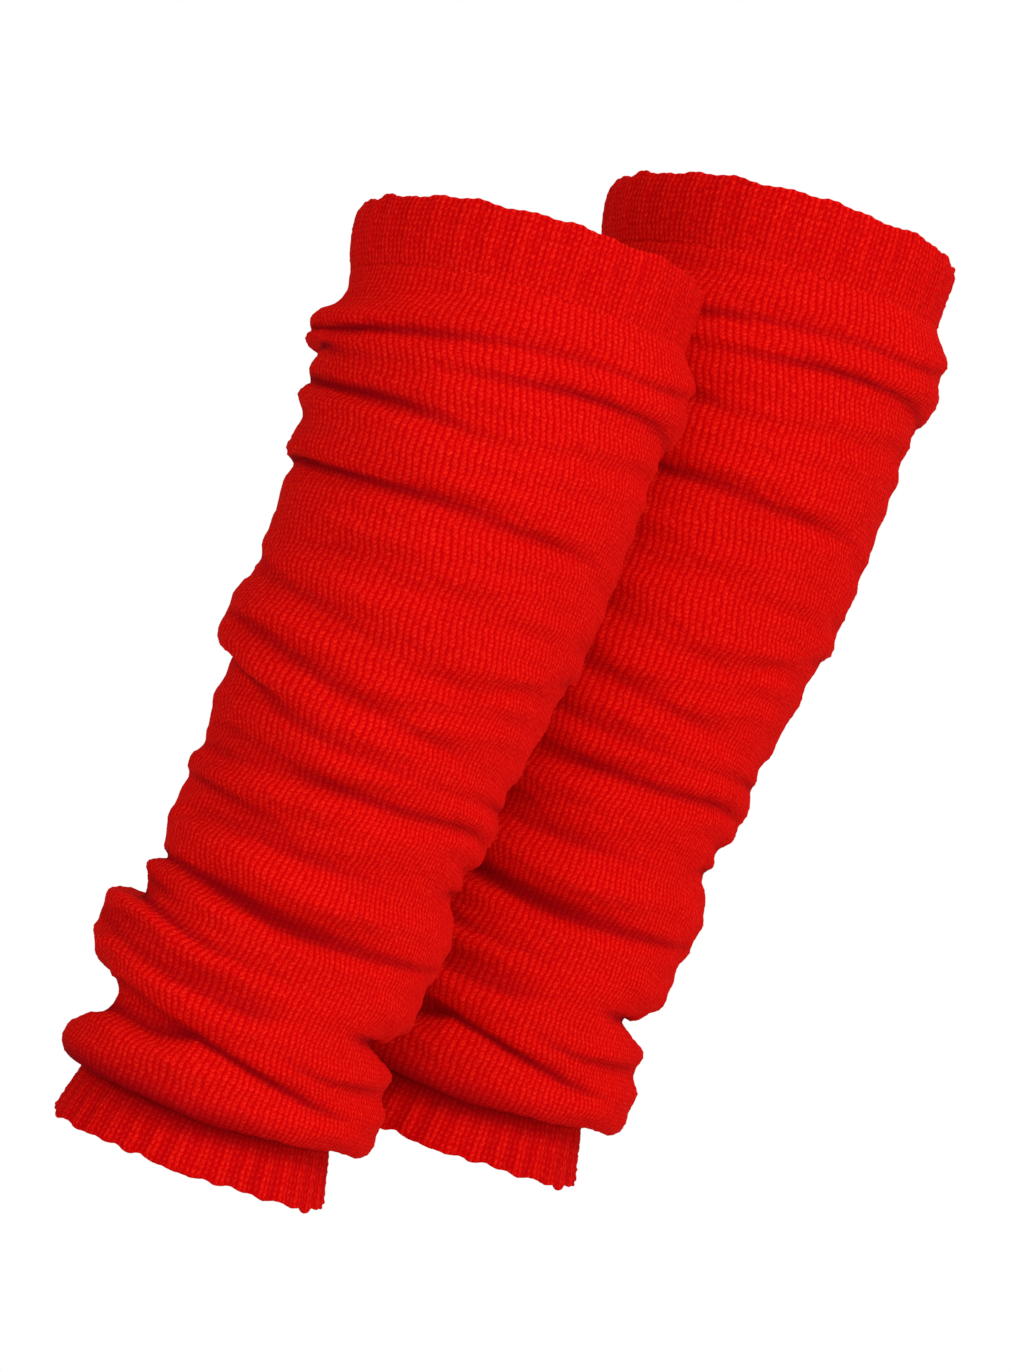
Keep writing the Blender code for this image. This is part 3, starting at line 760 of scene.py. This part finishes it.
def stitch_nodes(add, wale, course):
    """Where a point lies across its wale, from -1 to 1, and the relief of its stitch. A stitch is a V, whose
    legs meet in the middle of the wale."""
    across = add("ShaderNodeMath", [wale], operation="FRACT")
    across = add("ShaderNodeMath", [across, 2.0, -1.0], operation="MULTIPLY_ADD")
    aside = add("ShaderNodeMath", [across], operation="ABSOLUTE")
    leg = add("ShaderNodeMath", [aside, 0.75, course], operation="MULTIPLY_ADD")
    leg = add("ShaderNodeMath", [leg], operation="FRACT")
    leg = add("ShaderNodeMath", [leg, math.pi], operation="MULTIPLY")
    leg = add("ShaderNodeMath", [leg], operation="SINE")
    leg = add("ShaderNodeMath", [leg, 0.6, 0.4], operation="MULTIPLY_ADD")
    line = add("ShaderNodeMath", [aside, 2.6], operation="POWER")
    line = add("ShaderNodeMath", [1.0, line], operation="SUBTRACT")
    return across, add("ShaderNodeMath", [line, leg], operation="MULTIPLY")


def rib_nodes(add, wale, spot, down, ribbing):
    """What a rib takes from the stitches' relief, in the bump and in the painted light and shade. Half of
    its wales stand up and half lie back, darker with painted shade, and between them the cloth opens here
    and there into a gap of painted dark shade. Towards the seam it fades into the plain knit."""
    turn = add("ShaderNodeMath", [wale, 2 * math.pi / ribbing.wales], operation="MULTIPLY")
    turn = add("ShaderNodeMath", [turn], operation="SINE")
    lying = add(
        "ShaderNodeMath", [turn, -ribbing.lie, ribbing.lie], operation="MULTIPLY_ADD", use_clamp=True
    )
    edge = add("ShaderNodeMath", [turn], operation="ABSOLUTE")
    edge = add("ShaderNodeMath", [edge, -3.0, 1.0], operation="MULTIPLY_ADD", use_clamp=True)
    spot = add("ShaderNodeVectorMath", [spot, (0.45, 0.3, 1.0)], operation="MULTIPLY")
    opened = add("ShaderNodeTexNoise", {"Vector": spot, "Scale": 1.0, "Detail": 1.0})
    opened = add("ShaderNodeMath", [opened, 5.0, -2.6], operation="MULTIPLY_ADD", use_clamp=True)
    opened = add("ShaderNodeMath", [opened, ribbing.opening, 0.1], operation="MULTIPLY_ADD")
    gap = add("ShaderNodeMath", [edge, opened, lying], operation="MULTIPLY_ADD")
    from_seam = add("ShaderNodeMath", [down, float(ribbing.seam)], operation="SUBTRACT")
    from_seam = add("ShaderNodeMath", [from_seam], operation="ABSOLUTE")
    shown = add("ShaderNodeMath", [from_seam, 3.0], operation="MULTIPLY", use_clamp=True)
    return add("ShaderNodeMath", [gap, shown], operation="MULTIPLY")


def highlight_and_hair_nodes(add, across, stitch, uneven, clumps, hairs):
    """How much of a point takes the orange of the painted highlights and the loose hairs. The painted
    highlight lies on top of some stitches, most on the leg of the V that faces the key light, and a few
    loose hairs lie anywhere."""
    peak = add("ShaderNodeMath", [stitch, 2.4, -1.1], operation="MULTIPLY_ADD", use_clamp=True)
    painted_lit_side = add("ShaderNodeMath", [across, 0.5, 0.4], operation="MULTIPLY_ADD", use_clamp=True)
    fleck = add("ShaderNodeMath", [peak, painted_lit_side], operation="MULTIPLY")
    some = add("ShaderNodeMath", [uneven, 3.0, -1.0], operation="MULTIPLY_ADD", use_clamp=True)
    fleck = add("ShaderNodeMath", [fleck, some], operation="MULTIPLY")
    loose = add("ShaderNodeMath", [clumps, hairs], operation="ADD")
    loose = add("ShaderNodeMath", [loose, 3.0, -3.3], operation="MULTIPLY_ADD", use_clamp=True)
    return add("ShaderNodeMath", [loose, 0.3, fleck], operation="MULTIPLY_ADD", use_clamp=True)


def brushed_knit(name, sizes, colours, length, wales, ribbing=None):
    """Brushed acrylic yarn, machine knitted: a matt, slightly hairy red. Each wale is a row of V-shaped
    stitches with a narrow line of painted shade beside it. The light that the nap's hairs catch is painted
    as small orange flecks, with a few loose hairs."""
    material = bpy.data.materials.new(name)
    material.use_nodes = True
    material.node_tree.nodes.clear()
    add = functools.partial(add_node, material.node_tree)
    place = add("ShaderNodeTexCoord").outputs["Object"]
    knit = add("ShaderNodeSeparateXYZ", [add("ShaderNodeUVMap", uv_map="knit")])
    crease = add("ShaderNodeAttribute", attribute_name="crease").outputs["Fac"]
    courses = length / sizes.course_height

    tension = add("ShaderNodeTexNoise", {"Vector": place, "Scale": TENSION_SCALE, "Detail": 2.0})
    tension = add("ShaderNodeSeparateColor", [tension.outputs["Color"]])
    nap = {"Vector": place, "Detail": 3.0, "Roughness": 0.6}
    clumps = add("ShaderNodeTexNoise", {**nap, "Scale": CLUMP_SCALE})
    hairs = add("ShaderNodeTexNoise", {**nap, "Scale": HAIR_SCALE})
    broad = add("ShaderNodeTexNoise", {"Vector": place, "Scale": BROAD_SCALE, "Detail": 3.0})

    # The wales wander by up to half their pitch, and so do the courses.
    wobble = add("ShaderNodeMath", [clumps, 0.4, -0.6], operation="MULTIPLY_ADD")
    wobble = add("ShaderNodeMath", [tension.outputs[0], 0.8, wobble], operation="MULTIPLY_ADD")
    wale = add("ShaderNodeMath", [knit.outputs["X"], float(wales), wobble], operation="MULTIPLY_ADD")
    wobble = add("ShaderNodeMath", [tension.outputs[1], 0.9, -0.45], operation="MULTIPLY_ADD")
    course = add("ShaderNodeMath", [knit.outputs["Y"], -courses, wobble], operation="MULTIPLY_ADD")
    spot = add("ShaderNodeCombineXYZ", [wale, course])
    uneven = add("ShaderNodeTexNoise", {"Vector": spot, "Scale": 1.1, "Detail": 2.0, "Roughness": 0.7})

    across, stitch = stitch_nodes(add, wale, course)
    if ribbing:
        gap = rib_nodes(add, wale, spot, knit.outputs["Y"], ribbing)
        stitch = add("ShaderNodeMath", [stitch, gap], operation="SUBTRACT", use_clamp=True)
    height = add("ShaderNodeMath", [clumps, 0.35, stitch], operation="MULTIPLY_ADD")
    height = add("ShaderNodeMath", [hairs, 0.5, height], operation="MULTIPLY_ADD")
    bump = add("ShaderNodeBump", {"Height": height, "Strength": BUMP_STRENGTH, "Distance": BUMP_HEIGHT})

    # The yarn's red, with painted shade between the stitches, orange painted highlights on the nap and its
    # loose hairs, a little patchy, and painted shade in creases.
    # Painted light and shade of the stitches' relief: the yarn's red on top of each stitch, a darker red
    # painted as shade in the lines between the wales.
    lit = add("ShaderNodeMath", [uneven, 2.0], operation="MULTIPLY")
    lit = add("ShaderNodeMath", [stitch, lit], operation="MULTIPLY", use_clamp=True)
    base = add("ShaderNodeMix", {0: lit, 6: colours.groove, 7: colours.yarn}, data_type="RGBA").outputs[2]
    fleck = highlight_and_hair_nodes(add, across, stitch, uneven, clumps, hairs)
    base = add("ShaderNodeMix", {0: fleck, 6: base, 7: colours.hair_and_highlight}, data_type="RGBA").outputs[2]
    shade = add("ShaderNodeMath", [broad, 0.14, 0.92], operation="MULTIPLY_ADD")
    patchy = {0: 1.0, 6: base, 7: shade}
    base = add("ShaderNodeMix", patchy, data_type="RGBA", blend_type="MULTIPLY").outputs[2]
    # Painted shade where the crease attribute says: in creases, under the last roll, in the ribs' grooves
    # and on the ankle cuff under that roll.
    painted_shade_mix = add("ShaderNodeMath", [crease, 0.95], operation="MULTIPLY")
    base = add("ShaderNodeMix", {0: painted_shade_mix, 6: base, 7: colours.painted_shade_colour}, data_type="RGBA").outputs[2]

    shader = add(
        "ShaderNodeBsdfPrincipled",
        {
            "Base Color": base, "Normal": bump, "Roughness": 0.9, "IOR": 1.47, "Specular IOR Level": 0.02,
            "Metallic": 0.0, "Sheen Weight": 0.27, "Sheen Roughness": 0.2, "Sheen Tint": colours.sheen,
        },
    )
    add("ShaderNodeOutputMaterial", {"Surface": shader})
    material.diffuse_color = colours.yarn
    return material


def matt_paint(name, colour):
    """Matt white paint on a studio floor: pale and even, with no gloss."""
    material = bpy.data.materials.new(name)
    material.use_nodes = True
    material.node_tree.nodes.clear()
    shader = add_node(
        material.node_tree, "ShaderNodeBsdfPrincipled",
        {"Base Color": colour, "Roughness": 0.95, "Specular IOR Level": 0.1},
    )
    add_node(material.node_tree, "ShaderNodeOutputMaterial", {"Surface": shader})
    return material


class KnitSizes(bpy.types.PropertyGroup):
    """Sizes of the knit."""

    wales: IntProperty(name="Wales", description="Columns of stitches round the leg", default=156, min=36)
    course_height: FloatProperty(
        name="Course", description="Height of one row of stitches", default=0.0022, unit="LENGTH"
    )
    wale_relief: FloatProperty(
        name="Wale relief", description="Half of a wale's height over the line beside it",
        default=0.00004, unit="LENGTH",
    )
    top_rib_depth: FloatProperty(
        name="Top rib", description="Depth of the grooves in the top cuff", default=0.0003, unit="LENGTH"
    )
    ankle_rib_depth: FloatProperty(
        name="Ankle rib", description="Depth of the grooves in the ankle cuff", default=0.0007, unit="LENGTH"
    )
    lean: FloatProperty(
        name="Lean", description="How far both lean to the right, as the solids do",
        default=math.radians(20.3), subtype="ANGLE",
    )


class YarnColours(bpy.types.PropertyGroup):
    """Colours of the yarn."""

    yarn: FloatVectorProperty(
        name="Yarn", description="On top of a stitch", size=4, subtype="COLOR", default=to_linear("#E80906")
    )
    # The painted shade between two wales.
    groove: FloatVectorProperty(
        name="Groove", description="Between two wales", size=4, subtype="COLOR", default=to_linear("#C20005")
    )
    # The orange of the painted highlights on the nap, and of its loose hairs.
    hair_and_highlight: FloatVectorProperty(
        name="Hair", description="Hairs of the nap", size=4, subtype="COLOR", default=to_linear("#FF3420")
    )
    sheen: FloatVectorProperty(
        name="Sheen", description="Nap at the edges", size=4, subtype="COLOR", default=to_linear("#FF3424")
    )
    # The colour of the painted shade in creases, under the last roll and in the ribs' grooves.
    painted_shade_colour: FloatVectorProperty(
        name="Deep", description="Down in a crease", size=4, subtype="COLOR", default=to_linear("#84000A")
    )


class StudioSettings(bpy.types.PropertyGroup):
    """The camera, the lights and the floor."""

    camera_distance: FloatProperty(
        name="Camera distance", description="From the camera to the front leg warmer's line", default=3.8,
        unit="LENGTH",
    )
    frame_height: FloatProperty(
        name="Frame height", description="Height that the frame takes in at that distance",
        default=FRAME_PIXELS[1] * PIXEL * MM, unit="LENGTH",
    )
    key: FloatProperty(
        name="Key light", description="Power of the light above and to the right", default=29.0, unit="POWER"
    )
    fill: FloatProperty(
        name="Fill light", description="Power of the light in front", default=20.0, unit="POWER"
    )
    side: FloatProperty(
        name="Side light", description="Power of the light on the left", default=7.5, unit="POWER"
    )
    floor: FloatVectorProperty(
        name="Floor", description="The floor's colour", size=4, subtype="COLOR", default=to_linear("#F2F2F2")
    )


def add_piece(name, built, material, node, lean, side):
    """A finished piece of cloth in place of its solid."""
    rows, shares, inside, inside_shares, painted_shade = built
    rows, inside = in_place(rows, side, lean), in_place(inside, side, lean)
    piece = bpy.data.objects.new(name, knit_mesh(name, rows, shares, inside, inside_shares, painted_shade))
    piece.data.materials.append(material)
    bpy.context.scene.collection.objects.link(piece)
    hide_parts(node)
    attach(piece, "root")


class LEGWARMERS_OT_plain_legs(bpy.types.Operator):
    """Knit the two plain legs, in rolls and creases"""

    bl_idname = "legwarmers.plain_legs"
    bl_label = "Plain Legs"

    def execute(self, context):
        sizes, colours = context.scene.knit_sizes, context.scene.yarn_colours
        material = brushed_knit("brushed_acrylic_plain_knit", sizes, colours, LEG_LENGTH, sizes.wales)
        for side in ("front", "rear"):
            add_piece(
                side + "_leg_knit", knitted_leg(side, sizes), material, side + "_leg",
                sizes.lean, side,
            )
        return {"FINISHED"}


class LEGWARMERS_OT_ribbed_cuffs(bpy.types.Operator):
    """Knit the ribbed cuffs at the top and at the ankle"""

    bl_idname = "legwarmers.ribbed_cuffs"
    bl_label = "Ribbed Cuffs"

    def execute(self, context):
        sizes, colours = context.scene.knit_sizes, context.scene.yarn_colours
        for which, ribbing in RIBBING.items():
            name, wales = "brushed_acrylic_rib_" + which, RIBS * ribbing.wales
            material = brushed_knit(name, sizes, colours, ribbing.length, wales, ribbing)
            for side in ("front", "rear"):
                node = f"{side}_{which}_cuff"
                add_piece(
                    node + "_rib", knitted_cuff(side, which, sizes), material, node,
                    sizes.lean, side,
                )
        return {"FINISHED"}


# Places and sizes in the studio, in metres.
LAMPS = {
    "key": ((2.1, -1.7, 1.3), 1.2),
    "fill": ((0.0, -3.6, 0.2), 1.6),
    "side": ((-1.6, -1.3, 0.9), 1.2),
}
LAMPS_FACE = (-0.05, 0.0, -0.18)
FLOOR_RADIUS = 3.0
FLOOR_HEIGHT = -0.8
SENSOR_HEIGHT = 36.0  # of the camera, in millimetres

# The room is brightest above and to the right, where the key is, and darkest opposite.
ROOM_BRIGHT_SIDE = (0.7, -0.3, 0.65)
ROOM_BRIGHTEST = 0.7
ROOM_DARKEST = 0.17


def add_lamp(name, power, place, size):
    """A round soft lamp that faces the pair."""
    lamp = bpy.data.lights.new(name, "AREA")
    lamp.energy = power
    lamp.shape = "DISK"
    lamp.size = size
    holder = bpy.data.objects.new(name, lamp)
    holder.location = place
    x, y, z = np.array(place) - np.array(LAMPS_FACE)
    holder.rotation_euler = (math.atan2(math.hypot(x, y), z), 0.0, math.atan2(x, -y))
    bpy.context.scene.collection.objects.link(holder)


class LEGWARMERS_OT_studio(bpy.types.Operator):
    """Set the camera, the lights and a plain pale floor"""

    bl_idname = "legwarmers.studio"
    bl_label = "Studio"

    def execute(self, context):
        scene = context.scene
        studio = scene.leg_warmer_studio
        scene.view_settings.view_transform = "Standard"
        hem = -np.array(REAR_PLACE) / 2 * MM  # the middle of the front top hem
        pixel = studio.frame_height / FRAME_PIXELS[1]
        camera = bpy.data.cameras.new("camera")
        camera.sensor_fit = "VERTICAL"
        camera.sensor_height = SENSOR_HEIGHT
        camera.lens = SENSOR_HEIGHT * studio.camera_distance / studio.frame_height
        camera.clip_end = 50.0
        holder = bpy.data.objects.new("camera", camera)
        holder.location = (
            hem[0] + (FRAME_PIXELS[0] / 2 - HEM_PIXEL[0]) * pixel,
            hem[1] - studio.camera_distance,
            hem[2] - (FRAME_PIXELS[1] / 2 - HEM_PIXEL[1]) * pixel,
        )
        holder.rotation_euler = (math.radians(90.0), 0.0, 0.0)
        scene.collection.objects.link(holder)
        scene.camera = holder

        for name, (place, size) in LAMPS.items():
            add_lamp(name, getattr(studio, name), place, size)

        world = bpy.data.worlds.new("white_studio")
        world.use_nodes = True
        world.node_tree.nodes.clear()
        add = functools.partial(add_node, world.node_tree)
        towards = [add("ShaderNodeTexCoord").outputs["Generated"], ROOM_BRIGHT_SIDE]
        towards = add("ShaderNodeVectorMath", towards, operation="DOT_PRODUCT").outputs["Value"]
        light = add("ShaderNodeMapRange", [towards, -0.9, 0.9, ROOM_DARKEST, ROOM_BRIGHTEST])
        seen = add("ShaderNodeLightPath").outputs["Is Camera Ray"]  # the camera sees plain white
        strength = add("ShaderNodeMath", [light, seen], operation="MAXIMUM")
        room = add("ShaderNodeBackground", {"Strength": strength, "Color": (1.0, 1.0, 1.0, 1.0)})
        add("ShaderNodeOutputWorld", {"Surface": room})
        scene.world = world

        bpy.ops.mesh.primitive_circle_add(
            vertices=96, radius=FLOOR_RADIUS, fill_type="NGON", location=(0.0, 0.0, FLOOR_HEIGHT)
        )
        floor = context.active_object
        floor.name = floor.data.name = "floor"
        floor.data.materials.append(matt_paint("matt_white_floor", studio.floor))
        return {"FINISHED"}


class LEGWARMERS_PT_panel(bpy.types.Panel):
    """The leg warmers' pieces and settings"""

    bl_idname = "LEGWARMERS_PT_panel"
    bl_label = "Leg Warmers"
    bl_space_type = "VIEW_3D"
    bl_region_type = "UI"
    bl_category = "Leg Warmers"

    def draw(self, context):
        for group in SETTINGS:
            settings = getattr(context.scene, group)
            for name in settings.bl_rna.properties.keys():
                if name not in ("rna_type", "name"):
                    self.layout.prop(settings, name)
        for operator in OPERATORS:
            self.layout.operator(operator.bl_idname)


SETTINGS = {"knit_sizes": KnitSizes, "yarn_colours": YarnColours, "leg_warmer_studio": StudioSettings}
OPERATORS = (LEGWARMERS_OT_plain_legs, LEGWARMERS_OT_ribbed_cuffs, LEGWARMERS_OT_studio)
CLASSES = (*SETTINGS.values(), *OPERATORS, LEGWARMERS_PT_panel)


def register():
    for cls in CLASSES:
        bpy.utils.register_class(cls)
    for name, group in SETTINGS.items():
        setattr(bpy.types.Scene, name, PointerProperty(type=group))


def unregister():
    for name in SETTINGS:
        delattr(bpy.types.Scene, name)
    for cls in reversed(CLASSES):
        bpy.utils.unregister_class(cls)


def main():
    register()
    bpy.ops.legwarmers.plain_legs()
    bpy.ops.legwarmers.ribbed_cuffs()
    bpy.ops.legwarmers.studio()


if __name__ == "__main__":
    main()
